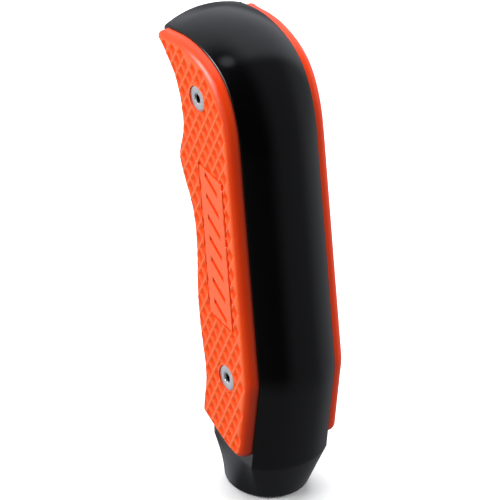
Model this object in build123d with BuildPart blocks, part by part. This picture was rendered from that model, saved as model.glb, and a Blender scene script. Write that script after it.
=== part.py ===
from build123d import *
import math
import os

os.makedirs("parts", exist_ok=True)

# Pistol-shaped shift handle: one solid core, two side plates, four plate screws,
# one threaded lever insert and two set screws.
# Millimetres. Origin at the centre of the base face, +Z up, +Y to the finger side,
# +X to the right-hand plate. The palm side of the spine looks along -Y.

# ---- driving dimensions -------------------------------------------------------
grip_height = 135.0      # base face to the highest point of the flat sides
grip_reach = 49.0        # lever axis forward to the tip of the nose
core_thick = 25.4        # between the two flat sides
spine_crown = 4.8        # bulge of the palm side over the flat-side edge
front_crown = 2.5        # bulge of the finger side over the flat-side edge
base_radius = 12.0       # round foot of the core
taper_height = 13.0      # height of the blend from round foot to grip section
foot_edge = 0.8          # small radius round the foot

plate_thick = 3.7
plate_inset = 0.5        # plate outline inside the core outline
plate_corner = 3.0       # corner radius at the foot of the plate outline
plate_rim = 1.2          # rounding of the outer plate edge on the finger side
back_rim = 2.8           # rounding of the outer plate edge on the palm side and over the dome
boss_radius = 5.0        # spigot round each screw hole, sunk in the core
boss_depth = 1.5

screw_radius = 2.0       # M4
head_radius = 3.85
head_depth = 2.3
head_sink = 0.3          # head top below the plate face
screw_length = 12.0
screw_gap = 0.25         # clearance of the shank in the plate
tip_gap = 1.5            # tapped hole past the screw's tip
plate_hex = 2.5          # across flats
hex_depth = 1.5

insert_radius = 8.0      # lever insert, pressed in the core
insert_length = 30.0
insert_flange = 1.5
lever_radius = 5.0       # M10 lever thread
lever_depth = 25.0

set_radius = 2.5         # M5 set screws
set_hex = 2.5
set_hex_depth = 2.0
set_sink = 0.4           # set screw end below the front surface
set_low = 8.0
set_high = 19.5

# ---- derived ------------------------------------------------------------------
half = core_thick / 2
kz = grip_height / 135.0
ky = grip_reach / 49.0
outer = half + plate_thick


def spot(y, z):
    """A point of the side view, scaled with the two overall sizes."""
    return (y * ky, z * kz)


heel = spot(-11.0, taper_height / kz)
knee = spot(-12.6, 42.5)
neck = spot(4.4, 111.5)
dome_points = [neck, spot(8.9, 123.6), spot(15.6, 131.3), spot(26.5, 135.0), spot(37.0, 134.6), spot(47.6, 131.6)]
front_points = [
    spot(47.4, 128.7), spot(42.2, 126.0), spot(37.0, 121.6), spot(33.0, 114.6), spot(31.2, 106.0),
    spot(32.0, 97.4), spot(29.2, 92.2), spot(23.4, 83.5), spot(20.1, 71.5), spot(18.4, 58.5),
    spot(14.5, 44.0), spot(11.2, 32.0), spot(11.3, 24.0), spot(9.6, taper_height / kz),
]
nose_tip = spot(49.0, 130.0)
upper_screw = spot(24.0, 121.6)
lower_screw = spot(-0.4, 39.5)
screw_spots = {"upper": upper_screw, "lower": lower_screw}
sides = {"left": -1, "right": 1}
back_way = (neck[0] - knee[0], neck[1] - knee[1])
run_out = 4.0            # extra length below the taper, trimmed off again
crown_root = 1.0         # how far a crown section is sunk in the body


def lowered(point, toward):
    """Carry a path end on past the taper line so the trim leaves a clean section."""
    dy = point[0] - toward[0]
    dz = point[1] - toward[1]
    return (point[0] + dy * run_out / abs(dz), point[1] - run_out)


low_heel = lowered(heel, knee)
low_toe = lowered(front_points[-1], front_points[-2])
flange_radius = insert_radius + 1.5
tap_depth = screw_length + head_sink - plate_thick + tip_gap
front_limit = 20.0 * ky
set_heights = [set_low, set_high]
plate_cut = [spot(-30, 9.9), spot(-10.3, 15.6), spot(10.4, 21.6), spot(30, 26.0), (30 * ky, -20), (-30 * ky, -20)]


def moved_in(points, amount):
    """Shift a run of outline points to the right of the way it runs, which is inward here."""
    moved = []
    for i, (y, z) in enumerate(points):
        before = points[max(i - 1, 0)]
        after = points[min(i + 1, len(points) - 1)]
        run = math.hypot(after[0] - before[0], after[1] - before[1])
        moved.append((y + (after[1] - before[1]) / run * amount, z - (after[0] - before[0]) / run * amount))
    return moved


plate_back = moved_in([low_heel, knee, neck], plate_inset)
plate_dome = [plate_back[-1]] + moved_in(dome_points, plate_inset)[1:-1] + [spot(44.6, 131.95)]
plate_front = [spot(44.8, 128.3)] + moved_in(front_points, plate_inset)[1:]
plate_nose = spot(46.7, 130.1)
plate_toe = (plate_front[-1][0], plate_front[-1][1] - run_out)


def crown_at(path, where, rise):
    """The bulge section across the core, square to the path; a rise below 0 bulges to the finger side."""
    root = math.copysign(crown_root, rise)
    place = Plane(path @ where, x_dir=(1, 0, 0), z_dir=path % where)
    with BuildSketch(place, mode=Mode.PRIVATE) as section:
        with BuildLine():
            ThreePointArc((-half, 0), (0, -rise), (half, 0))
            Polyline((half, 0), (half, root), (-half, root), (-half, 0))
        make_face()
    return section.sketch


def rim_cutter(path, side, radius, inward):
    """The corner left outside the rounding of a plate's outer edge; inward is +1 on the palm side."""
    place = Plane(path @ 0, x_dir=(1, 0, 0), z_dir=path % 0)
    inner = side * (outer - radius)
    over = side * (outer + 2)
    middle = (inner + side * radius * math.sqrt(0.5), inward * radius * (1 - math.sqrt(0.5)))
    with BuildSketch(place, mode=Mode.PRIVATE) as section:
        with BuildLine():
            ThreePointArc((inner, 0), middle, (side * outer, inward * radius))
            Polyline((side * outer, inward * radius), (over, inward * radius), (over, -inward * 2), (inner, -inward * 2), (inner, 0))
        make_face()
    return section.sketch


def foot_rim(angle):
    """A point on the rim of the round foot."""
    return (base_radius * math.cos(math.radians(angle)), base_radius * math.sin(math.radians(angle)))


def front_at(height):
    """How far forward the finger side lies at this height, at the middle of the core."""
    toe = front_points[-1]
    if height < toe[1]:
        return base_radius + (toe[0] + front_crown - base_radius) * height / toe[1]
    above = front_points[-2]
    return toe[0] + front_crown + (above[0] - toe[0]) * (height - toe[1]) / (above[1] - toe[1])


# ---- grip core ----------------------------------------------------------------
dome_end = (1, -0.35)
toe_way = (-0.1, -1)

with BuildPart() as grip_core:
    # flat-sided body
    with BuildSketch(Plane.YZ) as body_side:
        with BuildLine() as body_line:
            Line(low_heel, knee)
            Line(knee, neck)
            Spline(dome_points, tangents=[back_way, dome_end], tangent_scalars=[1, 1])
            nose = TangentArc(dome_points[-1], front_points[0], tangent=dome_end)
            Spline(front_points, tangents=[(-1, -0.2), toe_way], tangent_scalars=[1, 1])
            Line(front_points[-1], low_toe)
            Line(low_toe, low_heel)
        make_face()
    extrude(amount=half, both=True)
    # crowned palm side, straight part
    with BuildLine(Plane.YZ, mode=Mode.PRIVATE) as spine_path:
        Line(low_heel, knee)
        Line(knee, neck)
    sweep(sections=crown_at(spine_path.line, 0, spine_crown), path=spine_path.line, transition=Transition.RIGHT)
    # the crown eases off over the dome to the nose
    with BuildLine(Plane.YZ, mode=Mode.PRIVATE) as dome_path:
        Spline(dome_points, tangents=[back_way, dome_end], tangent_scalars=[1, 1])
    dome_crowns = [crown_at(dome_path.line, 0, spine_crown), crown_at(dome_path.line, 1, front_crown)]
    sweep(sections=dome_crowns, path=dome_path.line, multisection=True)
    # round the nose
    with BuildLine(Plane.YZ, mode=Mode.PRIVATE) as nose_path:
        TangentArc(dome_points[-1], front_points[0], tangent=dome_end)
    sweep(sections=crown_at(nose_path.line, 0, front_crown), path=nose_path.line)
    # crowned finger side, up the grooves to the nose
    with BuildLine(Plane.YZ, mode=Mode.PRIVATE) as front_path:
        Line(low_toe, front_points[-1])
        Spline(list(reversed(front_points)), tangents=[(0.1, 1), (1, 0.2)], tangent_scalars=[1, 1])
    sweep(sections=crown_at(front_path.line, 0, -front_crown), path=front_path.line, transition=Transition.RIGHT)
    # trim level at the taper line, then blend down to the round foot
    split(bisect_by=Plane.XY.offset(taper_height), keep=Keep.TOP)
    neck_face = grip_core.faces().sort_by(Axis.Z)[0]
    with BuildSketch(Plane.XY, mode=Mode.PRIVATE) as foot_section:
        with BuildLine():
            ThreePointArc(foot_rim(225), foot_rim(270), foot_rim(315))
            ThreePointArc(foot_rim(315), foot_rim(0), foot_rim(45))
            ThreePointArc(foot_rim(45), foot_rim(90), foot_rim(135))
            ThreePointArc(foot_rim(135), foot_rim(180), foot_rim(225))
        make_face()
    loft(sections=[neck_face, foot_section.face()], ruled=True)
    fillet(grip_core.edges().group_by(Axis.Z)[0], radius=foot_edge)
    # lever insert bore with its flange seat, open at the foot
    with BuildSketch(Plane.XY):
        Circle(insert_radius)
    extrude(amount=insert_length, mode=Mode.SUBTRACT)
    with BuildSketch(Plane.XY):
        Circle(flange_radius)
    extrude(amount=insert_flange, mode=Mode.SUBTRACT)
    # set screw holes from the finger side into the insert bore
    for height in set_heights:
        with BuildSketch(Plane.XZ.offset(-front_limit)):
            with Locations((0, height)):
                Circle(set_radius)
        extrude(amount=front_limit, mode=Mode.SUBTRACT)
    # plate screw holes and the spigot seats round them
    for name, (y, z) in screw_spots.items():
        for side in sides.values():
            with BuildSketch(Plane.YZ.offset(side * half)):
                with Locations((y, z)):
                    Circle(boss_radius)
            extrude(amount=-side * boss_depth, mode=Mode.SUBTRACT)
            with BuildSketch(Plane.YZ.offset(side * half)):
                with Locations((y, z)):
                    Circle(screw_radius)
            extrude(amount=-side * tap_depth, mode=Mode.SUBTRACT)
grip_core.part.label = "grip_core"

# ---- side plates --------------------------------------------------------------
with BuildLine(Plane.YZ) as plate_path:
    Line(plate_back[0], plate_back[1])
    Line(plate_back[1], plate_back[2])
    Spline(plate_dome, tangents=[back_way, (1, -0.3)], tangent_scalars=[1, 1])
    Line(plate_dome[-1], (plate_dome[-1][0] + 8.0, plate_dome[-1][1] - 2.4))
with BuildLine(Plane.YZ) as grip_path:
    Line(plate_toe, plate_front[-1])
    Spline(list(reversed(plate_front)), tangents=[(0.1, 1), (1, 0.3)], tangent_scalars=[1, 1])
    Line(plate_front[0], (plate_front[0][0] + 8.0, plate_front[0][1] + 2.4))

plates = {}
for word, side in sides.items():
    with BuildPart() as plate:
        with BuildSketch(Plane.YZ.offset(side * half)) as plate_side:
            with BuildLine():
                Line(plate_back[0], plate_back[1])
                Line(plate_back[1], plate_back[2])
                Spline(plate_dome, tangents=[back_way, (1, -0.3)], tangent_scalars=[1, 1])
                ThreePointArc(plate_dome[-1], plate_nose, plate_front[0])
                Spline(plate_front, tangents=[(-1, -0.3), (-0.1, -1)], tangent_scalars=[1, 1])
                Line(plate_front[-1], plate_toe)
                Line(plate_toe, plate_back[0])
            make_face()
            with BuildLine():
                Polyline(plate_cut, close=True)
            make_face(mode=Mode.SUBTRACT)
        extrude(amount=side * plate_thick)
        low_corners = plate.edges().filter_by(Axis.X).sort_by(Axis.Z)[:2]
        fillet(low_corners, radius=plate_corner)
        back_cut = rim_cutter(plate_path.line, side, back_rim, 1)
        sweep(sections=back_cut, path=plate_path.line, transition=Transition.RIGHT, mode=Mode.SUBTRACT)
        front_cut = rim_cutter(grip_path.line, side, plate_rim, -1)
        sweep(sections=front_cut, path=grip_path.line, transition=Transition.RIGHT, mode=Mode.SUBTRACT)
        for name, (y, z) in screw_spots.items():
            # spigot that locates the plate on the core
            with BuildSketch(Plane.YZ.offset(side * half)):
                with Locations((y, z)):
                    Circle(boss_radius - 0.1)
            extrude(amount=-side * (boss_depth - 0.1))
            # shank hole
            with BuildSketch(Plane.YZ.offset(side * (half - boss_depth))):
                with Locations((y, z)):
                    Circle(screw_radius + screw_gap)
            extrude(amount=side * (boss_depth + plate_thick), mode=Mode.SUBTRACT)
            # countersink with a short straight mouth
            with BuildSketch(Plane.YZ.offset(side * (outer - head_sink))):
                with Locations((y, z)):
                    Circle(head_radius + 0.1)
            extrude(amount=side * head_sink, mode=Mode.SUBTRACT)
            with BuildSketch(Plane.YZ.offset(side * (outer - head_sink))):
                with Locations((y, z)):
                    Circle(head_radius + 0.1)
            with BuildSketch(Plane.YZ.offset(side * (outer - head_sink - head_depth))):
                with Locations((y, z)):
                    Circle(screw_radius + screw_gap)
            loft(mode=Mode.SUBTRACT)
    plate.part.label = word + "_side_plate"
    plates[word] = plate

# ---- plate screws -------------------------------------------------------------
screws = {}
for word, side in sides.items():
    for name, (y, z) in screw_spots.items():
        with BuildPart() as screw:
            top = side * (outer - head_sink)
            with BuildSketch(Plane.YZ.offset(top)):
                with Locations((y, z)):
                    Circle(head_radius)
            with BuildSketch(Plane.YZ.offset(top - side * head_depth)):
                with Locations((y, z)):
                    Circle(screw_radius)
            loft()
            with BuildSketch(Plane.YZ.offset(top - side * head_depth)):
                with Locations((y, z)):
                    Circle(screw_radius)
            extrude(amount=-side * (screw_length - head_depth))
            with BuildSketch(Plane.YZ.offset(top)):
                with Locations((y, z)):
                    RegularPolygon(plate_hex / 2, 6, major_radius=False)
            extrude(amount=-side * hex_depth, mode=Mode.SUBTRACT)
        screw.part.label = word + "_" + name + "_screw"
        screws[screw.part.label] = screw

# ---- lever insert -------------------------------------------------------------
with BuildPart() as lever_insert:
    with BuildSketch(Plane.XY):
        Circle(flange_radius)
    extrude(amount=insert_flange)
    with BuildSketch(Plane.XY):
        Circle(insert_radius)
    extrude(amount=insert_length)
    with BuildSketch(Plane.XY):
        Circle(lever_radius)
    extrude(amount=lever_depth, mode=Mode.SUBTRACT)
lever_insert.part.label = "lever_insert"

# ---- set screws ---------------------------------------------------------------
set_screws = {}
for number, height in enumerate(set_heights):
    end = front_at(height) - set_sink
    with BuildPart() as set_screw:
        with BuildSketch(Plane.XZ.offset(-end)):
            with Locations((0, height)):
                Circle(set_radius)
        extrude(amount=end - insert_radius)
        with BuildSketch(Plane.XZ.offset(-end)):
            with Locations((0, height)):
                RegularPolygon(set_hex / 2, 6, major_radius=False)
        extrude(amount=set_hex_depth, mode=Mode.SUBTRACT)
    set_screw.part.label = ("lower", "upper")[number] + "_set_screw"
    set_screws[set_screw.part.label] = set_screw

# ---- files --------------------------------------------------------------------
export_step(grip_core.part, "parts/grip_core.step")
for word, plate in plates.items():
    export_step(plate.part, "parts/" + plate.part.label + ".step")
for label, screw in screws.items():
    export_step(screw.part, "parts/" + label + ".step")
export_step(lever_insert.part, "parts/lever_insert.step")
for label, set_screw in set_screws.items():
    export_step(set_screw.part, "parts/" + label + ".step")
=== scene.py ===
import math

import bmesh
import bpy
import numpy as np
from mathutils import Matrix, Vector
from mathutils.geometry import delaunay_2d_cdt


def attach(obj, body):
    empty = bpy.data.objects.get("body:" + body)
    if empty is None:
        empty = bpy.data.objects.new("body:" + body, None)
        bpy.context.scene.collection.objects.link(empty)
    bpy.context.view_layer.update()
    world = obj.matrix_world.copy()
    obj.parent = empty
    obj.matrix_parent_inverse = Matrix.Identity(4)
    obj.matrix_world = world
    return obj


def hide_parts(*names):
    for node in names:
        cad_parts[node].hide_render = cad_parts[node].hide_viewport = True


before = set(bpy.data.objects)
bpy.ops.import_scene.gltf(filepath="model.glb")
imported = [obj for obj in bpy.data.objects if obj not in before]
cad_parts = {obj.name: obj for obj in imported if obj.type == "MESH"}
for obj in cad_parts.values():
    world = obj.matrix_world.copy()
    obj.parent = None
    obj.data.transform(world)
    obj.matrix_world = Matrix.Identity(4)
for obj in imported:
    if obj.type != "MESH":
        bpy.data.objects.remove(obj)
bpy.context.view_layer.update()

# ---- sizes, in millimetres ----------------------------------------------------
MM = 0.001
HALF = 12.7               # half the core's width
THICK = 3.7               # side plate
SPINE_CROWN = 4.8         # bulge of the palm side
FRONT_CROWN = 2.5         # bulge of the finger side
CORE_EDGE = 0.45          # rounding where the flat side meets the bulge
TAPER = 13.0              # height of the tapered foot
FOOT_RADIUS = 12.0
FOOT_EDGE = 0.8
BORE = 8.0
BORE_DEPTH = 30.0
FLANGE = 9.5
FLANGE_DEEP = 1.5
BACK_RIM = 2.8            # rounding of a plate on the palm side
FRONT_RIM = 1.2           # and on the finger side
LOW_RIM = 0.5
PLATE_INSET = 0.5
CORNER = 3.0
FRONT_CORNER = 1.2
CORE_KNEE = 22.0          # rounding of the bend in the palm side
PLATE_KNEE = 11.0
HEAD = 3.85               # plate screws
HEAD_SINK = 0.3
HEAD_DEEP = 2.3
SHANK = 2.0
SCREW_LONG = 12.0
SCREW_PITCH = 0.7
SCREW_TURNS = 12
MOUTH = HEAD + 0.1        # room for a head in its plate
PLATE_BORE = SHANK + 0.25
ROUND = 64                # points round a mouth or bore of a plate
SET_RADIUS = 2.5          # set screws
SET_HEIGHTS = (8.0, 19.5)
SET_PITCH = 0.8
SOCKET = 1.25             # half width of a hexagon socket
LEVER_RADIUS = 5.0        # thread in the insert
LEVER_PITCH = 1.5
LEVER_CUT = 0.62
LEVER_DEEP = 24.0

HEEL = (-11.0, TAPER)
KNEE = (-12.6, 42.5)
NECK = (4.4, 111.5)
DOME = [NECK, (8.9, 123.6), (15.6, 131.3), (26.5, 135.0), (37.0, 134.6), (47.6, 131.6)]
FRONT = [
    (47.4, 128.7), (42.2, 126.0), (37.0, 121.6), (33.0, 114.6), (31.2, 106.0), (32.0, 97.4), (29.2, 92.2),
    (23.4, 83.5), (20.1, 71.5), (18.4, 58.5), (14.5, 44.0), (11.2, 32.0), (11.3, 24.0), (9.6, TAPER),
]
PLATE_NOSE = [(45.3, 131.75), (46.75, 130.4), (45.7, 128.9)]
OUTLINE_STEP = 0.33

# directions in which those lines start and end
BACK_WAY = (NECK[0] - KNEE[0], NECK[1] - KNEE[1])
NOSE_WAY = (1, -0.35)
UNDER_NOSE_WAY = (-1, -0.2)
PLATE_NOSE_WAY = (1, -0.3)
PLATE_UNDER_NOSE_WAY = (-1, -0.3)
TOE_WAY = (-0.1, -1)

SCREWS = {"upper": (24.0, 121.6), "lower": (-0.4, 39.5)}
CUT_BACK = (-10.3, 15.6)
CUT_FRONT = (10.4, 21.6)

# diamonds of the grip texture: short way across the plate, long way up it
SHORT = 4.3
LONG = 5.92
ACROSS = np.array((0.971, -0.2388))
ALONG = np.array((0.2388, 0.971))
FIRST_ACROSS = -17.7
FIRST_ALONG = 114.6
PIT = 0.5
# from a diamond's edge to its middle: how far in, and what share of the depth
HOLLOW_SLOPE = ((0.0, 0.045, 0.09, 0.16, 0.30, 0.42, 0.50), (0, 0.0, 0.10, 0.36, 0.76, 0.95, 1.0))
# where net points are laid across one diamond
NET_CUTS = np.array((0.0, 0.06, 0.12, 0.2, 0.32, 0.42, 0.5, 0.58, 0.68, 0.8, 0.88, 0.94)) - 0.5
BACK_MARGIN = 2.7         # a hollow is left out when its middle is nearer the palm side than this
FRONT_MARGIN = 3.0        # and kept past the finger side up to this

# smooth panel with slanted slots
PANEL = [(-2.0, 56.6), (9.9, 56.6), (20.6, 101.2), (8.7, 101.2)]
GROOVE = 0.7              # width, with the widths of its outer and inner wall
OUTER_WALL = 0.18
INNER_WALL = 0.16
GROOVE_DEEP = 0.7
SLOTS = 7
SLOT_HALF_LONG = 3.9
SLOT_HALF_WIDE = 0.9
SLOT_LEAN = 0.55
SLOT_WALL = 0.16


# ---- lines in the side view ---------------------------------------------------
def unit(way):
    """The same direction, one long."""
    way = np.asarray(way, float)
    return way / np.hypot(*way)


def smooth_line(points, start_way, end_way, step):
    """Points along the smooth curve through a run of points, with its two end directions."""
    points = np.array(points, float)
    chord = np.hypot(*np.diff(points, axis=0).T)
    count = len(points)
    left = np.eye(count)
    right = np.zeros((count, 2))
    right[0] = unit(start_way)
    right[-1] = unit(end_way)
    for i in range(1, count - 1):
        before, after = chord[i - 1], chord[i]
        left[i, i - 1:i + 2] = (after, 2 * (before + after), before)
        rise = after * (points[i] - points[i - 1]) / before + before * (points[i + 1] - points[i]) / after
        right[i] = 3 * rise
    slopes = np.linalg.solve(left, right)
    line = []
    for i in range(count - 1):
        steps = max(2, round(chord[i] / step))
        for k in range(steps):
            t = k / steps
            ends = points[i] * (2 * t ** 3 - 3 * t ** 2 + 1) + points[i + 1] * (3 * t ** 2 - 2 * t ** 3)
            pulls = slopes[i] * (t ** 3 - 2 * t ** 2 + t) + slopes[i + 1] * (t ** 3 - t ** 2)
            line.append(ends + pulls * chord[i])
    line.append(points[-1])
    return line


def straight(start, end, step):
    """Evenly spaced points of a straight run, its end left out."""
    start, end = np.array(start, float), np.array(end, float)
    steps = max(1, round(np.hypot(*(end - start)) / step))
    return [start + (end - start) * k / steps for k in range(steps)]


def arc_through(start, middle, end, steps):
    """Points of the arc through three points, both ends left out."""
    (ax, ay), (bx, by), (cx, cy) = start, middle, end
    d = 2 * (ax * (by - cy) + bx * (cy - ay) + cx * (ay - by))
    a2, b2, c2 = ax * ax + ay * ay, bx * bx + by * by, cx * cx + cy * cy
    ux = (a2 * (by - cy) + b2 * (cy - ay) + c2 * (ay - by)) / d
    uy = (a2 * (cx - bx) + b2 * (ax - cx) + c2 * (bx - ax)) / d
    first = math.atan2(ay - uy, ax - ux)
    last = math.atan2(cy - uy, cx - ux)
    through = math.atan2(by - uy, bx - ux)
    turn = (last - first) % math.tau
    if (through - first) % math.tau > turn:
        turn -= math.tau
    radius = math.hypot(ax - ux, ay - uy)
    angles = [first + turn * k / steps for k in range(1, steps)]
    return [np.array((ux + radius * math.cos(a), uy + radius * math.sin(a))) for a in angles]


def rounded_corner(before, corner, after, radius, steps=8):
    """The arc that rounds a corner, from the run before it to the run after it."""
    corner = np.array(corner, float)
    back = unit(np.array(before) - corner)
    on = unit(np.array(after) - corner)
    half_angle = math.acos(float(np.clip(back @ on, -1, 1))) / 2
    reach = radius / math.tan(half_angle)
    middle = corner + unit(back + on) * (radius / math.sin(half_angle) - radius)
    start, end = corner + back * reach, corner + on * reach
    return [start] + arc_through(start, middle, end, steps) + [end], reach


def moved_in(points, amount):
    """Shift a run of outline points to the right of the way it runs."""
    moved = []
    for i, (y, z) in enumerate(points):
        before, after = points[max(i - 1, 0)], points[min(i + 1, len(points) - 1)]
        run = math.hypot(after[0] - before[0], after[1] - before[1])
        moved.append((y + (after[1] - before[1]) / run * amount, z - (after[0] - before[0]) / run * amount))
    return moved


def trimmed(points, corner, reach):
    """The points of a run that lie further than reach from a corner."""
    return [p for p in points if np.hypot(*(p - np.array(corner))) > reach + 0.05]


def evenly(points, step):
    """The same closed line with evenly spaced points."""
    points = np.concatenate([points, points[:1]])
    along = np.concatenate([[0], np.cumsum(np.hypot(*np.diff(points, axis=0).T))])
    spots = np.linspace(0, along[-1], round(along[-1] / step), endpoint=False)
    return np.stack([np.interp(spots, along, points[:, k]) for k in (0, 1)], axis=1)


def eased(values):
    """Values round a closed line, averaged with their neighbours three times."""
    reach = 7
    for _ in range(3):
        values = sum(np.roll(values, k) for k in range(-reach, reach + 1)) / (2 * reach + 1)
    return values


def ways(points, closed=False):
    """The direction of a line at each of its points."""
    if closed:
        run = np.roll(points, -1, axis=0) - np.roll(points, 1, axis=0)
    else:
        run = np.gradient(points, axis=0)
    return run / np.hypot(*run.T)[:, None]


def inside(points, loop):
    """Which points lie inside a closed loop."""
    ahead = np.roll(loop, -1, axis=0)
    hits = np.zeros(len(points), int)
    for (y0, z0), (y1, z1) in zip(loop, ahead):
        if z0 != z1:
            crosses = (points[:, 1] < z0) != (points[:, 1] < z1)
            hits += crosses & (points[:, 0] < y0 + (points[:, 1] - z0) * (y1 - y0) / (z1 - z0))
    return hits % 2 == 1


def reach_to(points, loop):
    """Distance from each point to a closed loop, and the number of the nearest loop point."""
    ahead = np.roll(loop, -1, axis=0)
    best = np.full(len(points), 1e9)
    nearest = np.zeros(len(points), int)
    for k, (a, b) in enumerate(zip(loop, ahead)):
        run = b - a
        share = np.clip((points - a) @ run / (run @ run), 0, 1)
        gap = np.hypot(*(points - a - share[:, None] * run).T)
        closer = gap < best
        best[closer] = gap[closer]
        nearest[closer] = k
    return best, nearest


def grown(corners, amount):
    """A convex shape with every edge moved outward; its corners run anticlockwise."""
    corners = np.array(corners, float)
    ahead = np.roll(corners, -1, axis=0)
    run = ahead - corners
    run = run / np.hypot(*run.T)[:, None]
    out = np.stack([run[:, 1], -run[:, 0]], axis=1)
    moved = []
    for i in range(len(corners)):
        first, second = out[i - 1], out[i]
        moved.append(corners[i] + (first + second) * amount / (1 + first @ second))
    return moved


def circle(middle, radius):
    """Evenly spaced points round a circle."""
    turn = np.arange(ROUND) * math.tau / ROUND
    return np.stack([middle[0] + radius * np.cos(turn), middle[1] + radius * np.sin(turn)], axis=1)


def chained(loops):
    """The points of several closed loops in one list, and the edges between them."""
    points, edges = [], []
    for loop in loops:
        first = len(points)
        points += [tuple(p) for p in loop]
        edges += [(first + k, first + (k + 1) % len(loop)) for k in range(len(loop))]
    return points, edges


def triangles(points, edges):
    """Triangles that keep the given edges: points, triangles, and which given points each one stands for."""
    made = delaunay_2d_cdt([Vector(p) for p in points], edges, [], 0, 1e-6, True)
    return np.array([tuple(v) for v in made[0]]), np.array(made[2]), made[3]


def walled_in(faces, start, walls):
    """Which triangles are reached from the starting one without crossing a wall edge."""
    beside = {}
    sides = [[frozenset((int(face[k]), int(face[k - 1]))) for k in range(3)] for face in faces]
    for index, edges in enumerate(sides):
        for edge in edges:
            beside.setdefault(edge, []).append(index)
    reached = np.zeros(len(faces), bool)
    reached[start] = True
    waiting = [start]
    while waiting:
        for edge in sides[waiting.pop()]:
            if edge not in walls:
                fresh = [index for index in beside[edge] if not reached[index]]
                reached[fresh] = True
                waiting += fresh
    return reached


def ring_edges(row):
    """The edges of a closed row of point numbers."""
    return {frozenset((row[k], row[k - 1])) for k in range(len(row))}


def beaded(corners, step):
    """A closed shape's corners with evenly spaced points between them."""
    points = []
    for start, end in zip(corners, corners[1:] + corners[:1]):
        points += straight(start, end, step)
    return points


# ---- mesh helpers -------------------------------------------------------------
def crease(mesh):
    """Smooth shading with the real corners kept crisp."""
    limit = math.radians(34)
    bm = bmesh.new()
    bm.from_mesh(mesh)
    for face in bm.faces:
        face.smooth = True
    for edge in bm.edges:
        edge.smooth = len(edge.link_faces) == 2 and edge.calc_face_angle(0) < limit
    bm.to_mesh(mesh)
    bm.free()


def piece(name, bm, nodes, place=None):
    """Turn a finished mesh into a named piece that stands for its CAD nodes."""
    bmesh.ops.recalc_face_normals(bm, faces=bm.faces)
    mesh = bpy.data.meshes.new(name)
    bm.to_mesh(mesh)
    bm.free()
    crease(mesh)
    made = bpy.data.objects.new(name, mesh)
    bpy.context.scene.collection.objects.link(made)
    if place is not None:
        made.matrix_world = place
    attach(made, "root")
    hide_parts(*nodes)
    return made


def skin(bm, rows, closed=True):
    """Faces between neighbouring rows of the same number of points."""
    for low, high in zip(rows, rows[1:]):
        count = len(low)
        for k in range(count if closed else count - 1):
            j = (k + 1) % count
            bm.faces.new((low[k], low[j], high[j], high[k]))


def cap(bm, row, middle):
    """Close a row of points with a fan to one middle point."""
    centre = bm.verts.new(middle)
    for k, vert in enumerate(row):
        bm.faces.new((vert, row[(k + 1) % len(row)], centre))


def bored(target, cutters):
    """Cut the joined cutter mesh out of a piece, and bake the result."""
    tool = bpy.data.objects.new("cutter", cutters)
    bpy.context.scene.collection.objects.link(tool)
    cut = target.modifiers.new("bores", "BOOLEAN")
    cut.object = tool
    cut.solver = "EXACT"
    graph = bpy.context.evaluated_depsgraph_get()
    mesh = bpy.data.meshes.new_from_object(target.evaluated_get(graph))
    target.modifiers.clear()
    target.data = mesh
    bpy.data.objects.remove(tool)
    crease(mesh)


# ---- grip core ----------------------------------------------------------------
def crown_section(rise, count=44):
    """Across the core from one flat side to the other: how far over, and how far out."""
    bend = (HALF ** 2 + rise ** 2) / (2 * rise)
    sunk = math.sqrt((bend - CORE_EDGE) ** 2 - (HALF - CORE_EDGE) ** 2)
    lean = math.atan2(HALF - CORE_EDGE, sunk)
    side = []
    for k in range(5):
        angle = (math.pi / 2 - lean) * k / 4
        over = HALF - CORE_EDGE + CORE_EDGE * math.cos(angle)
        side.append((over, sunk - (bend - rise) + CORE_EDGE * math.sin(angle)))
    arc = []
    for k in range(1, count):
        angle = lean * (1 - 2 * k / count)
        arc.append((bend * math.sin(angle), bend * math.cos(angle) - (bend - rise)))
    return side + arc + [(-over, out) for over, out in reversed(side)]


def core_outline():
    """The outline up the palm side, over the dome and down the finger side, with the bulge at each point."""
    knee, reach = rounded_corner(HEEL, KNEE, NECK, CORE_KNEE, 12)
    low = straight(HEEL, knee[0], 1.2)
    high = straight(knee[-1], NECK, 1.2)
    dome = smooth_line(DOME, BACK_WAY, NOSE_WAY, 0.6)
    start, end = np.array(DOME[-1]), np.array(FRONT[0])
    way = unit(NOSE_WAY)
    side = np.array((way[1], -way[0]))
    gap = end - start
    radius = (gap @ gap) / (2 * (gap @ side))
    centre = start + side * radius
    first = math.atan2(*(start - centre)[::-1])
    turn = (math.atan2(*(end - centre)[::-1]) - first) % -math.tau
    steps = 14
    angles = [first + turn * k / steps for k in range(1, steps)]
    nose = [centre + radius * np.array((math.cos(a), math.sin(a))) for a in angles]
    front = smooth_line(FRONT, UNDER_NOSE_WAY, TOE_WAY, 0.8)
    points = low + knee[:-1] + high + dome + nose + front
    # the bulge goes down over the dome
    ease = np.interp(np.linspace(0, 1, len(dome)), (0, 0.6, 0.9, 1), (SPINE_CROWN, 3.25, 3.1, FRONT_CROWN))
    rises = [SPINE_CROWN] * (len(low) + len(knee) - 1 + len(high))
    rises += list(ease) + [FRONT_CROWN] * (len(nose) + len(front))
    return np.array(points), rises


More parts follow.
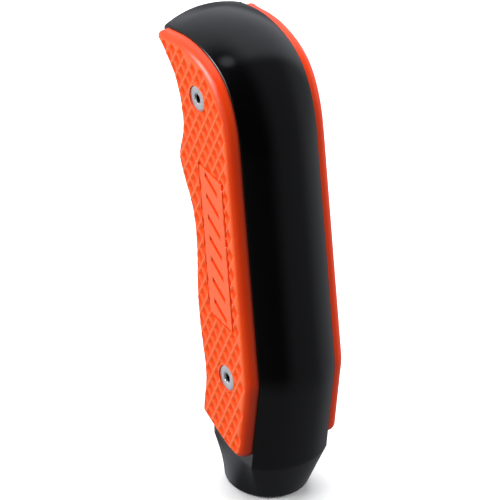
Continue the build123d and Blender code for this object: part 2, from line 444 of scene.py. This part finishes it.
def core_mesh():
    """The whole core: bulged band, flat sides, tapered round foot and the bore for the insert."""
    points, rises = core_outline()
    way = ways(points)
    out = np.stack([-way[:, 1], way[:, 0]], axis=1)
    bm = bmesh.new()
    rows = []
    last = len(points) - 1
    lowest = TAPER + 0.4
    for i, (spot, rise) in enumerate(zip(points, rises)):
        row = []
        for over, lift in crown_section(rise):
            place = spot + out[i] * lift
            if i in (0, last):
                place = place + way[i] * (TAPER - place[1]) / way[i][1]
            elif place[1] < lowest:
                place[1] = lowest
            row.append(bm.verts.new((over * MM, place[0] * MM, place[1] * MM)))
        rows.append(row)
    skin(bm, rows, closed=False)
    # sides at the taper line, split for the round foot
    low, high = rows[0], rows[-1]
    steps = 20
    plus, minus = [], []
    for k in range(1, steps):
        share = k / steps
        plus.append(bm.verts.new(low[0].co.lerp(high[0].co, share)))
        minus.append(bm.verts.new(high[-1].co.lerp(low[-1].co, share)))
    bm.faces.new([row[0] for row in rows] + list(reversed(plus)))
    bm.faces.new([row[-1] for row in rows] + minus)
    ring = list(reversed(low)) + plus + high + minus
    quarter = len(low) - 1
    angles = [225 + 90 * k / quarter for k in range(quarter + 1)]
    angles += [315 + 90 * k / steps for k in range(1, steps)]
    angles += [405 + 90 * k / quarter for k in range(quarter + 1)]
    angles += [495 + 90 * k / steps for k in range(1, steps)]
    around = [Vector((math.cos(math.radians(a)), math.sin(math.radians(a)), 0)) for a in angles]
    rows = [ring]

    def add_row(where):
        rows.append([bm.verts.new(where(k)) for k in range(len(ring))])

    def on_wall(k, height):
        return ring[k].co.lerp(around[k] * FOOT_RADIUS * MM, 1 - height / TAPER)

    for height in (12.6, 11.6, 10.2, 8.8, 7.4, 6.0, 4.6, 3.2, 2.0, 1.3):
        add_row(lambda k: on_wall(k, height))
    for angle in (0, 18, 36, 54, 72, 90):
        lift = FOOT_EDGE * (1 - math.sin(math.radians(angle)))
        pull = FOOT_EDGE * (1 - math.cos(math.radians(angle)))
        add_row(lambda k: Vector((*(on_wall(k, lift) - around[k] * pull * MM).xy, lift * MM)))
    seat, hole, end = FLANGE + 0.05, BORE + 0.04, BORE_DEPTH + 0.1
    for radius, height in ((10.4, 0), (seat, 0), (seat, FLANGE_DEEP), (hole, FLANGE_DEEP), (hole, end)):
        add_row(lambda k: around[k] * radius * MM + Vector((0, 0, height * MM)))
    skin(bm, rows)
    cap(bm, rows[-1], (0, 0, end * MM))
    return bm


def front_at(height):
    """How far forward the finger side lies at this height, at the middle of the core."""
    toe, above = FRONT[-1], FRONT[-2]
    if height < toe[1]:
        return FOOT_RADIUS + (toe[0] + FRONT_CROWN - FOOT_RADIUS) * height / toe[1]
    return toe[0] + FRONT_CROWN + (above[0] - toe[0]) * (height - toe[1]) / (above[1] - toe[1])


def core_cutters():
    """Rods for the set screw holes and the plate screw holes."""
    bm = bmesh.new()
    rods = []
    forward = Matrix.Rotation(math.pi / 2, 4, "X")
    sideways = Matrix.Rotation(math.pi / 2, 4, "Y")
    for height in SET_HEIGHTS:
        place = Matrix.Translation((0, 13.6 * MM, height * MM)) @ forward
        rods.append((SET_RADIUS + 0.03, 12.0, place))
    for y, z in SCREWS.values():
        for side in (-1, 1):
            place = Matrix.Translation((side * (HALF - 4.0) * MM, y * MM, z * MM)) @ sideways
            rods.append((SHANK + 0.05, 12.6, place))
    for radius, length, place in rods:
        bmesh.ops.create_cone(bm, cap_ends=True, segments=40, radius1=radius * MM, radius2=radius * MM,
                              depth=length * MM, matrix=place)
    mesh = bpy.data.meshes.new("cutters")
    bm.to_mesh(mesh)
    bm.free()
    return mesh


grip_core = piece("core_body", core_mesh(), ["grip_core"])
bored(grip_core, core_cutters())


# ---- side plates --------------------------------------------------------------
def plate_outline():
    """The plate's closed outline, with the rim rounding and the start of the texture at each point."""
    back = moved_in([HEEL, KNEE, NECK], PLATE_INSET)
    dome = [back[-1]] + moved_in(DOME, PLATE_INSET)[1:-1] + PLATE_NOSE[:1]
    front = PLATE_NOSE[-1:] + moved_in(FRONT, PLATE_INSET)[1:]
    finger = smooth_line(front, PLATE_UNDER_NOSE_WAY, TOE_WAY, 0.2)
    cut = unit(np.array(CUT_FRONT) - np.array(CUT_BACK))
    square = np.array((-cut[1], cut[0]))
    heights = [(p - np.array(CUT_BACK)) @ square for p in finger]
    last = next(i for i in range(len(heights)) if heights[i + 1] < 0)
    share = heights[last] / (heights[last] - heights[last + 1])
    low_front = finger[last] + (finger[last + 1] - finger[last]) * share
    run = unit(np.array(back[1]) - np.array(back[0]))
    across = np.cross(cut, run)
    low_back = np.array(back[0]) + run * np.cross(np.array(CUT_BACK) - np.array(back[0]), cut) / -across
    back_corner, _ = rounded_corner(low_front, low_back, back[1], CORNER)
    knee, _ = rounded_corner(back[0], back[1], back[2], PLATE_KNEE)
    front_corner, reach = rounded_corner(finger[last - 14], low_front, low_back, FRONT_CORNER)
    parts = [
        ("low", straight(front_corner[-1], back_corner[0], 0.3)),
        ("back", back_corner),
        ("back", straight(back_corner[-1], knee[0], 0.3)[1:]),
        ("back", knee),
        ("back", straight(knee[-1], back[2], 0.3)[1:]),
        ("back", smooth_line(dome, BACK_WAY, PLATE_NOSE_WAY, 0.2)),
        ("nose", arc_through(*PLATE_NOSE, 18)),
        ("front", trimmed(finger[:last + 1], low_front, reach)),
        ("front", front_corner[:-1]),
    ]
    points = np.array([p for _, run in parts for p in run])
    names = [name for name, run in parts for _ in run]
    loop = evenly(points, OUTLINE_STEP)
    _, nearest = reach_to(loop, points)
    rims = {"low": LOW_RIM, "back": BACK_RIM, "nose": FRONT_RIM, "front": FRONT_RIM}
    starts = {"low": -0.3, "back": 1.6, "nose": 1.5, "front": -0.1}
    rim = eased(np.array([rims[names[k]] for k in nearest]))
    start = eased(np.array([starts[names[k]] for k in nearest]))
    return loop, rim, start


def slot_shapes():
    """Slanted slots down the middle of the smooth panel, as corner lists."""
    low_left, low_right, _, high_left = (np.array(p) for p in PANEL)
    up = unit(high_left - low_left)
    over = unit(low_right - low_left)
    half = unit(over + up * SLOT_LEAN) * SLOT_HALF_LONG
    rise = up * SLOT_HALF_WIDE
    shapes = []
    for k in range(SLOTS):
        share = (k + 0.5) / SLOTS
        middle = (low_left + low_right) / 2 + (high_left - low_left) * share
        shapes.append([middle - half - rise, middle + half - rise,
                       middle + half + rise, middle - half + rise])
    return shapes


def signed(points, corners):
    """Distance inside a shape, negative outside it."""
    loop = np.array(corners, float)
    gap, _ = reach_to(points, loop)
    return np.where(inside(points, loop), gap, -gap)


def diamond_spots(across, along):
    """Points that lie so many diamonds across and along from the first one."""
    return np.outer(FIRST_ACROSS + across * SHORT, ACROSS) + np.outer(FIRST_ALONG + along * LONG, ALONG)


def diamonds(points):
    """Depth share of the diamond texture at each point, and its cell's pit."""
    across = (points @ ACROSS - FIRST_ACROSS) / SHORT
    along = (points @ ALONG - FIRST_ALONG) / LONG
    first, second = along + across, along - across
    a, b = np.floor(first + 0.5), np.floor(second + 0.5)
    edge = np.minimum(0.5 - np.abs(first - a), 0.5 - np.abs(second - b))
    return np.interp(edge, *HOLLOW_SLOPE), diamond_spots((a - b) / 2, (a + b) / 2)


class Plate:
    """Heights over the plate, worked out once for both sides."""

    def __init__(self):
        self.loop, self.rim, self.start = plate_outline()
        self.way = ways(self.loop, closed=True)
        self.inward = np.stack([self.way[:, 1], -self.way[:, 0]], axis=1)
        self.slots = slot_shapes()

    def height(self, points):
        """Height above the core's flat side, and how hollow the surface is, at each point; the hollow value
        is negative down the rounded rim, and the orange finish paints bounce light and shade by it.
        """
        gap, nearest = reach_to(points, self.loop)
        rim, start = self.rim[nearest], self.start[nearest]
        short = np.clip(rim - gap, 0, rim)
        drop = rim - np.sqrt(np.maximum(rim ** 2 - short ** 2, 0))
        depth, pits = diamonds(points)
        pit_gap, pit_near = reach_to(pits, self.loop)
        pit_in = inside(pits, self.loop)
        back = self.start[pit_near] > 0.8
        whole = np.where(back, pit_in & (pit_gap > BACK_MARGIN), pit_in | (pit_gap < FRONT_MARGIN))
        depth = depth * whole * np.clip((gap - start) / 0.7, 0, 1)
        for y, z in SCREWS.values():
            away = np.hypot(points[:, 0] - y, points[:, 1] - z) - MOUTH
            depth = depth * np.clip(away / 0.6, 0, 1)
        panel = signed(points, PANEL)
        depth = np.where(panel > 0, 0, depth) * PIT
        groove = np.interp(panel, (-GROOVE, -GROOVE + OUTER_WALL, -INNER_WALL, 0), (0, 1, 1, 0)) * GROOVE_DEEP
        depth = np.maximum(depth, groove)
        for shape in self.slots:
            depth = np.maximum(depth, np.interp(signed(points, shape), (0, SLOT_WALL), (0, GROOVE_DEEP)))
        return THICK - drop - depth, np.clip(depth / PIT, 0, 1) - drop / rim

    def surface(self):
        """The plate's top as points and triangles, with the loops that its edges and bores hang on."""
        end = math.radians(73)
        border = self.loop + self.inward * (self.rim * (1 - math.cos(end)))[:, None]
        loops = [border]
        mouths = []
        for middle in SCREWS.values():
            mouths.append(len(loops))
            loops += [circle(middle, radius) for radius in (MOUTH, HEAD + 0.4, HEAD + 0.75)]
        for amount in (GROOVE, GROOVE - OUTER_WALL, INNER_WALL, 0.0):
            loops.append(np.array(beaded(grown(PANEL, amount), 0.45)))
        for shape in self.slots:
            for amount in (0.0, -SLOT_WALL):
                loops.append(np.array(beaded(grown(shape, amount), 0.4)))
        steps = (np.arange(-40, 40)[:, None] + NET_CUTS).ravel()
        first, second = (grid.ravel() for grid in np.meshgrid(steps, steps))
        net = diamond_spots((first - second) / 2, (first + second) / 2)
        low, high = self.loop.min(0), self.loop.max(0)
        net = net[((net > low) & (net < high)).all(1)]
        net = net[inside(net, border)]
        for k, loop in enumerate(loops):
            gap, _ = reach_to(net, loop)
            keep = gap > 0.13
            if k in mouths:
                keep &= ~inside(net, loop)
            net = net[keep]
        points, edges = chained(loops)
        verts, faces, origins = triangles(points + [tuple(p) for p in net], edges)
        found = {source: index for index, sources in enumerate(origins) for source in sources}
        starts = np.cumsum([0] + [len(loop) for loop in loops])
        rim_row = [found[i] for i in range(len(border))]
        mouth_rows = [[found[starts[k] + i] for i in range(ROUND)] for k in mouths]
        walls = set().union(*(ring_edges(row) for row in [rim_row] + mouth_rows))
        return verts, faces[walled_in(faces, self.middle_face(verts, faces), walls)], rim_row, mouth_rows

    def middle_face(self, verts, faces):
        """The triangle nearest the middle of the smooth panel."""
        away = verts[faces].mean(1) - np.mean(PANEL, axis=0)
        return int(np.argmin(np.hypot(*away.T)))

    def underside(self, bores):
        """Triangles for the flat inner face, between the outline and the shank bores."""
        verts, faces, origins = triangles(*chained([self.loop] + bores))
        source = [sources[0] for sources in origins]
        found = {first: index for index, first in enumerate(source)}
        first = 0
        walls = set()
        for count in [len(self.loop)] + [len(bore) for bore in bores]:
            walls |= ring_edges([found[first + k] for k in range(count)])
            first += count
        keep = walled_in(faces, self.middle_face(verts, faces), walls)
        return [[source[i] for i in face] for face in faces[keep]]


plate = Plate()
top_points, top_faces, top_rim, top_mouths = plate.surface()
top_height, top_hollow = plate.height(top_points)
bores = [circle(middle, PLATE_BORE) for middle in SCREWS.values()]
under_faces = plate.underside(bores)


def plate_mesh(side):
    """One side plate as a closed mesh, with its hollows written on the points."""
    bm = bmesh.new()
    hollow = bm.verts.layers.float.new("hollow")

    def add(spot, height, value=0.0):
        vert = bm.verts.new((side * (HALF + height) * MM, spot[0] * MM, spot[1] * MM))
        vert[hollow] = value
        return vert

    top = [add(p, h, v) for p, h, v in zip(top_points, top_height, top_hollow)]
    for face in top_faces:
        bm.faces.new([top[i] for i in face])
    rows = [[add(p, 0.01) for p in plate.loop]]
    for degrees in (0, 10, 20, 30, 40, 50, 60, 67):
        angle = math.radians(degrees)
        spots = plate.loop + plate.inward * (plate.rim * (1 - math.cos(angle)))[:, None]
        heights, hollows = plate.height(spots)
        plain = THICK - plate.rim * (1 - math.sin(angle))
        heights = np.minimum(plain, heights) if degrees > 45 else plain
        rows.append([add(p, h, v) for p, h, v in zip(spots, heights, hollows)])
    rows.append([top[i] for i in top_rim])
    skin(bm, rows)
    base = []
    for spot, mouth, bore in zip(SCREWS.values(), top_mouths, bores):
        middle = np.array(spot)
        wide = middle + (bore - middle) * MOUTH / PLATE_BORE
        walls = [[top[i] for i in mouth]]
        # the walls of the screw mouths are written fully hollow, so they take the painted bounce light of the
        # hollows
        walls.append([add(p, THICK - HEAD_SINK - 0.02, 1.0) for p in wide])
        walls.append([add(p, THICK - HEAD_SINK - HEAD_DEEP, 1.0) for p in bore])
        walls.append([add(p, 0.01, 1.0) for p in bore])
        skin(bm, walls)
        base.append(walls[-1])
    under = rows[0] + base[0] + base[1]
    for face in under_faces:
        bm.faces.new([under[i] for i in face])
    return bm


left_plate = piece("left_plate_moulding", plate_mesh(-1), ["left_side_plate"])
right_plate = piece("right_plate_moulding", plate_mesh(1), ["right_side_plate"])


# ---- screws -------------------------------------------------------------------
def hex_ring(count, radius):
    """Points round a hexagon of that half width, spread by angle."""
    points = []
    for k in range(count):
        angle = math.tau * k / count
        off = (angle + math.pi / 6) % (math.pi / 3) - math.pi / 6
        reach = radius / math.cos(off)
        points.append((reach * math.cos(angle), reach * math.sin(angle)))
    return points


def socket_screw(body, deep):
    """A turned screw along +X with a hexagon socket; body lists radius and place from the face down."""
    bm = bmesh.new()
    rows = []
    count = 48

    def add_row(points, along):
        rows.append([bm.verts.new((along * MM, y * MM, z * MM)) for y, z in points])

    def round_row(radius):
        angles = [math.tau * k / count for k in range(count)]
        return [(radius * math.cos(a), radius * math.sin(a)) for a in angles]

    middle = bm.verts.new(((-deep - 0.35) * MM, 0, 0))
    add_row(hex_ring(count, SOCKET * 0.62), -deep - 0.2)
    add_row(hex_ring(count, SOCKET), -deep)
    add_row(hex_ring(count, SOCKET), -0.14)
    add_row(hex_ring(count, SOCKET + 0.03), -0.09)
    add_row(round_row(SOCKET * 1.155 + 0.12), 0.0)
    for radius, along in body:
        add_row(round_row(radius), along)
    skin(bm, rows)
    for k in range(count):
        bm.faces.new((rows[0][(k + 1) % count], rows[0][k], middle))
    cap(bm, rows[-1], (body[-1][1] * MM, 0, 0))
    return bm


plate_screw_body = [
    (2.2, 0.0), (2.9, 0.0), (HEAD - 0.22, 0.0), (HEAD - 0.08, -0.04), (HEAD, -0.14), (HEAD, -0.24),
    (SHANK + 0.1, -HEAD_DEEP + 0.1), (SHANK, -HEAD_DEEP), (SHANK, -HEAD_DEEP - 1.0),
]
for k in range(SCREW_TURNS):
    crest = -3.5 - k * SCREW_PITCH
    plate_screw_body += [(SHANK, crest), (SHANK - 0.28, crest - SCREW_PITCH / 2)]
plate_screw_body += [(SHANK - 0.05, -SCREW_LONG + 0.35), (SHANK - 0.4, -SCREW_LONG)]

screw_pieces = []
for word, side in (("left", -1), ("right", 1)):
    for level, (y, z) in SCREWS.items():
        out = side * (HALF + THICK - HEAD_SINK)
        facing = Matrix.Rotation(0 if side > 0 else math.pi, 4, "Z")
        turn = Matrix.Rotation(math.radians(17), 4, "X")
        place = Matrix.Translation((out * MM, y * MM, z * MM)) @ facing @ turn
        turned = socket_screw(plate_screw_body, 1.5)
        made = piece(f"{word}_{level}_head_screw", turned, [f"{word}_{level}_screw"], place)
        screw_pieces.append(made)

set_pieces = []
for word, height in zip(("lower", "upper"), SET_HEIGHTS):
    out = front_at(height) - 0.4
    long = out - BORE
    body = [(1.9, 0.0), (SET_RADIUS - 0.25, 0.0), (SET_RADIUS - 0.02, -0.25)]
    for k in range(int((long - 0.9) / SET_PITCH)):
        crest = -0.35 - k * SET_PITCH
        body += [(SET_RADIUS - 0.02, crest), (SET_RADIUS - 0.3, crest - SET_PITCH / 2)]
    body += [(SET_RADIUS - 0.05, -long + 0.3), (SET_RADIUS - 0.5, -long)]
    place = Matrix.Translation((0, out * MM, height * MM)) @ Matrix.Rotation(math.pi / 2, 4, "Z")
    turned = socket_screw(body, min(2.0, long - 1.0))
    made = piece(f"{word}_grub_screw", turned, [f"{word}_set_screw"], place)
    set_pieces.append(made)


# ---- lever insert -------------------------------------------------------------
def insert_mesh():
    """Flanged sleeve with a cut thread in its bore."""
    bm = bmesh.new()
    rows = []
    count = 72

    def add_row(radius, height):
        spots = [(radius(k), math.tau * k / count) for k in range(count)]
        corners = [(r * math.cos(a) * MM, r * math.sin(a) * MM, height * MM) for r, a in spots]
        rows.append([bm.verts.new(corner) for corner in corners])

    def cut(k):
        if height <= 0.6:
            return LEVER_RADIUS + 0.05
        phase = (height / LEVER_PITCH - k / count) % 1.0
        fade = min(1.0, height / 2.0)
        return LEVER_RADIUS - LEVER_CUT * fade * (1 - abs(2 * phase - 1))

    outside = [
        (BORE, BORE_DEPTH), (BORE, FLANGE_DEEP + 0.02), (BORE + 0.05, FLANGE_DEEP - 0.02),
        (FLANGE - 0.05, FLANGE_DEEP - 0.02), (FLANGE, FLANGE_DEEP - 0.1), (FLANGE, 0.25),
        (FLANGE - 0.07, 0.07), (FLANGE - 0.25, 0.0), (6.6, 0.0), (5.6, 0.0),
    ]
    for radius, height in outside:
        add_row(lambda k: radius, height)
    height = 0.5
    while height < LEVER_DEEP:
        add_row(cut, height)
        height += LEVER_PITCH / 6
    add_row(lambda k: 4.6, 25.0)
    skin(bm, rows)
    cap(bm, rows[0], (0, 0, BORE_DEPTH * MM))
    cap(bm, rows[-1], (0, 0, 26.0 * MM))
    return bm


sleeve = piece("threaded_sleeve", insert_mesh(), ["lever_insert"])


# ---- finishes -----------------------------------------------------------------
class Flow:
    """One output of a node, ready for sums."""

    def __init__(self, finish, socket):
        self.finish = finish
        self.socket = socket

    def sum(self, operation, first, second):
        return self.finish.node("Math", {"operation": operation}, {0: first, 1: second})

    def __add__(self, other):
        return self.sum("ADD", self, other)

    def __sub__(self, other):
        return self.sum("SUBTRACT", self, other)

    def __mul__(self, other):
        return self.sum("MULTIPLY", self, other)

    def __rsub__(self, other):
        return self.sum("SUBTRACT", other, self)

    __radd__ = __add__
    __rmul__ = __mul__


class Nodes:
    """A node tree that is written as sums."""

    def __init__(self, tree, shader, where):
        self.tree = tree
        self.shader = shader
        self.where = self.node("TexCoord", {}, {}, where)

    def feed(self, socket, value):
        if isinstance(value, Flow):
            self.tree.links.new(value.socket, socket)
        else:
            socket.default_value = value

    def node(self, kind, settings, values, out=0):
        """Any node: its kind, its settings, the values or links of its sockets, and the output wanted."""
        made = self.tree.nodes.new("ShaderNode" + kind)
        for setting, value in settings.items():
            if setting == "stops":
                for stop, (place, shade) in zip(made.color_ramp.elements, value):
                    stop.position = place
                    stop.color = (shade, shade, shade, 1)
            else:
                setattr(made, setting, value)
        for socket, value in values.items():
            self.feed(made.inputs[socket], value)
        return Flow(self, made.outputs[out])

    def noise(self, scale, detail, rough):
        """Soft noise from 0 to 1, at a scale per metre."""
        values = {"Vector": self.where, "Scale": scale, "Detail": detail, "Roughness": rough}
        return self.node("TexNoise", {}, values)

    def blend(self, share, first, second):
        """A colour between two colours."""
        return self.node("Mix", {"data_type": "RGBA"}, {"Factor": share, 6: first, 7: second}, 2)

    def ramp(self, value, *stops):
        """Grey between two stops, each a place and a shade."""
        return self.node("ValToRGB", {"stops": list(stops)}, {"Fac": value})

    def use(self, **links):
        for socket, value in links.items():
            self.feed(self.shader.inputs[socket.replace("_", " ")], value)

    def bump(self, height, strength, distance):
        return self.node("Bump", {}, {"Height": height, "Strength": strength, "Distance": distance})

    def rise(self, value, low, high):
        """A soft step from 0 at low to 1 at high."""
        settings = {"interpolation_type": "SMOOTHSTEP"}
        return self.node("MapRange", settings, {"Value": value, "From Min": low, "From Max": high})

    def part(self, axis):
        """One coordinate, in metres."""
        return self.node("SeparateXYZ", {}, {"Vector": self.where}, axis)


class Finish(Nodes):
    """One material, built from a principled shader."""

    def __init__(self, name, **fixed):
        self.material = bpy.data.materials.new(name)
        self.material.use_nodes = True
        tree = self.material.node_tree
        super().__init__(tree, tree.nodes["Principled BSDF"], "Object")
        for socket, value in fixed.items():
            self.shader.inputs[socket.replace("_", " ")].default_value = value


def moulded_orange():
    """Glass-filled nylon: satin orange, with painted bounce light in the hollows and painted shade down the
    rounded rims, and a fine moulded skin.
    """
    f = Finish("moulded_orange_nylon", Specular_IOR_Level=0.2, IOR=1.48, Coat_Roughness=0.28, Coat_IOR=1.5)
    hollow = f.node("Attribute", {"attribute_name": "hollow"}, {}, "Fac")
    cloud = f.noise(55, 3, 0.55)
    fleck = f.noise(2600, 2, 0.6)
    # painted light: the hollows get a brighter, redder orange, standing in for light bounced and carried
    # through the nylon inside them
    shade = f.blend(f.rise(hollow, 0.05, 0.8), (0.85, 0.108, 0.010, 1), (0.95, 0.055, 0.001, 1))
    # painted shade: where the hollow value goes below zero, down the rounded rims, the orange is darker
    shade = f.blend(f.rise(hollow * -1, 0.0, 0.15), shade, (0.74, 0.042, 0.003, 1))
    shade = f.blend((cloud - 0.42) * 0.4, shade, (0.95, 0.11, 0.010, 1))
    shade = f.blend((fleck - 0.5) * 0.35, shade, (0.70, 0.04, 0.003, 1))
    rough = 0.30 + 0.08 * cloud + 0.14 * f.rise(hollow, 0.0, 0.3) + 0.05 * fleck
    grain = f.bump(f.noise(1900, 4, 0.6), 0.10, 0.0001)
    coat = 0.55 - 0.45 * f.rise(hollow, 0.05, 0.55)
    f.use(Base_Color=shade, Roughness=rough, Coat_Weight=coat, Normal=grain)
    return f.material


def gloss_black():
    """Polished black coat, with faint handling haze and a trace of unevenness."""
    f = Finish("gloss_black_coat", Specular_IOR_Level=0.5, IOR=1.45)
    haze = f.noise(38, 4, 0.6)
    fine = f.noise(420, 3, 0.5)
    shade = f.blend(haze, (0.0010, 0.0010, 0.0012, 1), (0.0022, 0.0022, 0.0026, 1))
    f.use(Base_Color=shade, Roughness=0.13 + 0.06 * haze + 0.02 * fine,
          Normal=f.bump(f.noise(24, 2, 0.4), 0.05, 0.0004))
    return f.material


def turned_metal(name, light, dark, rough, wear=0.0):
    """Turned metal with fine rings round its own axis, slight variation in tone, and painted shade deep in
    the socket.
    """
    f = Finish(name, Metallic=1.0)
    flat = f.node("VectorMath", {"operation": "MULTIPLY"}, {0: f.where, 1: (0, 1, 1)})
    reach = f.node("VectorMath", {"operation": "LENGTH"}, {0: flat}, "Value")
    rings = f.node("Math", {"operation": "SINE"}, {0: reach * 9000})
    cloud = f.noise(700, 3, 0.6)
    specks = f.ramp(f.noise(2600, 4, 0.7), (0.35, 0.0), (0.75, 1.0))
    shade = f.blend(cloud * 0.8 + specks * 0.2, dark, light)
    # painted shade: from about 0.2 to 0.9 mm below the face the colour goes black, so the hex socket is dark
    # deep inside, and the hidden shank too
    shade = f.blend(f.rise(f.part("X"), -0.0009, -0.0002), (0.01, 0.01, 0.01, 1), shade)
    f.use(Base_Color=shade, Roughness=rough + 0.10 * cloud + 0.03 * rings + wear * specks,
          Normal=f.bump(rings * 0.5 + cloud, 0.12, 0.00003))
    return f.material


def turned_brass():
    """Turned brass, with rings about the upright axis and patchy tone."""
    f = Finish("turned_brass", Metallic=1.0)
    flat = f.node("VectorMath", {"operation": "MULTIPLY"}, {0: f.where, 1: (1, 1, 0)})
    reach = f.node("VectorMath", {"operation": "LENGTH"}, {0: flat}, "Value")
    rings = f.node("Math", {"operation": "SINE"}, {0: reach * 7000})
    cloud = f.noise(260, 4, 0.6)
    shade = f.blend(cloud, (0.46, 0.30, 0.11, 1), (0.78, 0.58, 0.27, 1))
    f.use(Base_Color=shade, Roughness=0.24 + 0.16 * cloud + 0.03 * rings,
          Normal=f.bump(rings, 0.10, 0.00003))
    return f.material


def floor_paper():
    """Pale paper, with the faintest mottling."""
    f = Finish("pale_paper", Specular_IOR_Level=0.1)
    cloud = f.noise(3, 2, 0.5)
    shade = f.blend(cloud, (0.93, 0.93, 0.93, 1), (0.95, 0.95, 0.95, 1))
    f.use(Base_Color=shade, Roughness=0.9 + 0.05 * cloud)
    return f.material


orange = moulded_orange()
black = gloss_black()
steel = turned_metal("stainless_steel", (0.72, 0.72, 0.73, 1), (0.58, 0.58, 0.60, 1), 0.26)
oxide = turned_metal("black_oxide", (0.06, 0.06, 0.065, 1), (0.025, 0.025, 0.03, 1), 0.36, wear=0.12)
brass = turned_brass()
for made, finish in [(grip_core, black), (left_plate, orange), (right_plate, orange), (sleeve, brass)]:
    made.data.materials.clear()
    made.data.materials.append(finish)
for made in screw_pieces:
    made.data.materials.append(steel)
for made in set_pieces:
    made.data.materials.append(oxide)


# ---- floor, light and camera --------------------------------------------------
def floor_sheet():
    """A wide flat pale sheet, left out of reflections and bounced light."""
    bm = bmesh.new()
    marks = [-3 + k / 2 for k in range(13)]
    skin(bm, [[bm.verts.new((x, y, -0.0002)) for x in marks] for y in marks], closed=False)
    mesh = bpy.data.meshes.new("floor")
    bm.to_mesh(mesh)
    bm.free()
    made = bpy.data.objects.new("floor", mesh)
    made.data.materials.append(floor_paper())
    bpy.context.scene.collection.objects.link(made)
    made.visible_glossy = False
    made.visible_diffuse = False


def panel_light(name, place, aim, width, height, power, mirrored=False):
    """A soft rectangular lamp, aimed at a point; only a mirrored one shows in glossy surfaces."""
    lamp = bpy.data.lights.new(name, "AREA")
    lamp.shape = "RECTANGLE"
    lamp.size = width
    lamp.size_y = height
    lamp.energy = power
    made = bpy.data.objects.new(name, lamp)
    made.location = place
    made.rotation_euler = (Vector(aim) - Vector(place)).to_track_quat("-Z", "Y").to_euler()
    made.visible_glossy = mirrored
    bpy.context.scene.collection.objects.link(made)


def studio_walls():
    """Soft pale walls behind and to the right, open and dark in front."""
    world = bpy.data.worlds.new("studio")
    world.use_nodes = True
    tree = world.node_tree
    w = Nodes(tree, tree.nodes["Background"], "Generated")
    across, back, up = w.part("X"), w.part("Y"), w.part("Z")
    right_wall = w.rise(across, -0.22, 0.31)
    far_right = w.rise(across, 0.7, 0.95)
    table = w.rise(up * -1, 0.05, 0.7) * (1 - right_wall)
    high_wall = w.rise(back, -0.12, 0.22) * w.rise(up, -0.15, 0.15) * right_wall
    back_wall = w.rise(back, 0.35, 0.7) * w.rise(up, -0.72, -0.58) * (1 - right_wall)
    over = w.rise(across * -0.22 + back * 0.18 + up * 0.959, 0.985, 0.999)
    seen = w.node("LightPath", {}, {}, "Is Camera Ray")
    shiny = w.node("LightPath", {}, {}, "Is Glossy Ray")
    shoulder = w.rise(across * -0.80 + back * 0.43 + up * 0.42, 0.955, 0.995)
    glow = right_wall * 0.20 + far_right * 0.22 + table * 0.19 + high_wall * 0.75 + back_wall * 0.7
    glow = glow + over * 1.3 + shoulder * shiny * 14
    tint = w.blend(seen, (0.96, 0.98, 1.05, 1), (1, 1, 1, 1))
    share = seen + (1 - seen) * glow
    w.use(Color=w.node("Mix", {"data_type": "RGBA", "clamp_factor": False},
                       {"Factor": share, 6: (0, 0, 0, 1), 7: tint}, 2))
    bpy.context.scene.world = world


floor_sheet()
studio_walls()
panel_light("key", (-1.05, 0.30, 0.62), (0, 0.02, 0.08), 0.8, 1.1, 17, mirrored=True)
panel_light("upper_left", (-1.1, -0.35, 0.35), (0, 0.02, 0.08), 0.9, 0.9, 3)
panel_light("right_front", (1.15, -0.6, 0.45), (0, 0.02, 0.08), 0.8, 0.8, 15)
panel_light("overhead", (0.2, 0.5, 1.2), (0, 0, 0), 1.2, 1.2, 22)

TURN, TILT, ROLL = math.radians(34), math.radians(35), math.radians(3.8)
VIEW_WIDE = 143.885        # millimetres across the view, at the object
LOOK_RIGHT = -4.748        # middle of the view from the origin, along the view's own sides
LOOK_UP = 64.432
FOCUS = 5.0                # metres from the object to the camera
SENSOR = 36
toward = Vector((-math.sin(TURN) * math.cos(TILT), -math.cos(TURN) * math.cos(TILT), math.sin(TILT)))
level = Vector((math.cos(TURN), -math.sin(TURN), 0))
upright = toward.cross(level)
right = level * math.cos(ROLL) + upright * math.sin(ROLL)
top = upright * math.cos(ROLL) - level * math.sin(ROLL)
look = right * LOOK_RIGHT * MM + top * LOOK_UP * MM
camera = bpy.data.cameras.new("camera")
camera.sensor_width = SENSOR
camera.lens = SENSOR * FOCUS / (VIEW_WIDE * MM)
camera.clip_end = 20
viewer = bpy.data.objects.new("camera", camera)
place = Matrix((right, top, toward)).transposed().to_4x4()
place.translation = look + toward * FOCUS
viewer.matrix_world = place
bpy.context.scene.collection.objects.link(viewer)
bpy.context.scene.camera = viewer
bpy.context.scene.view_settings.view_transform = "Standard"
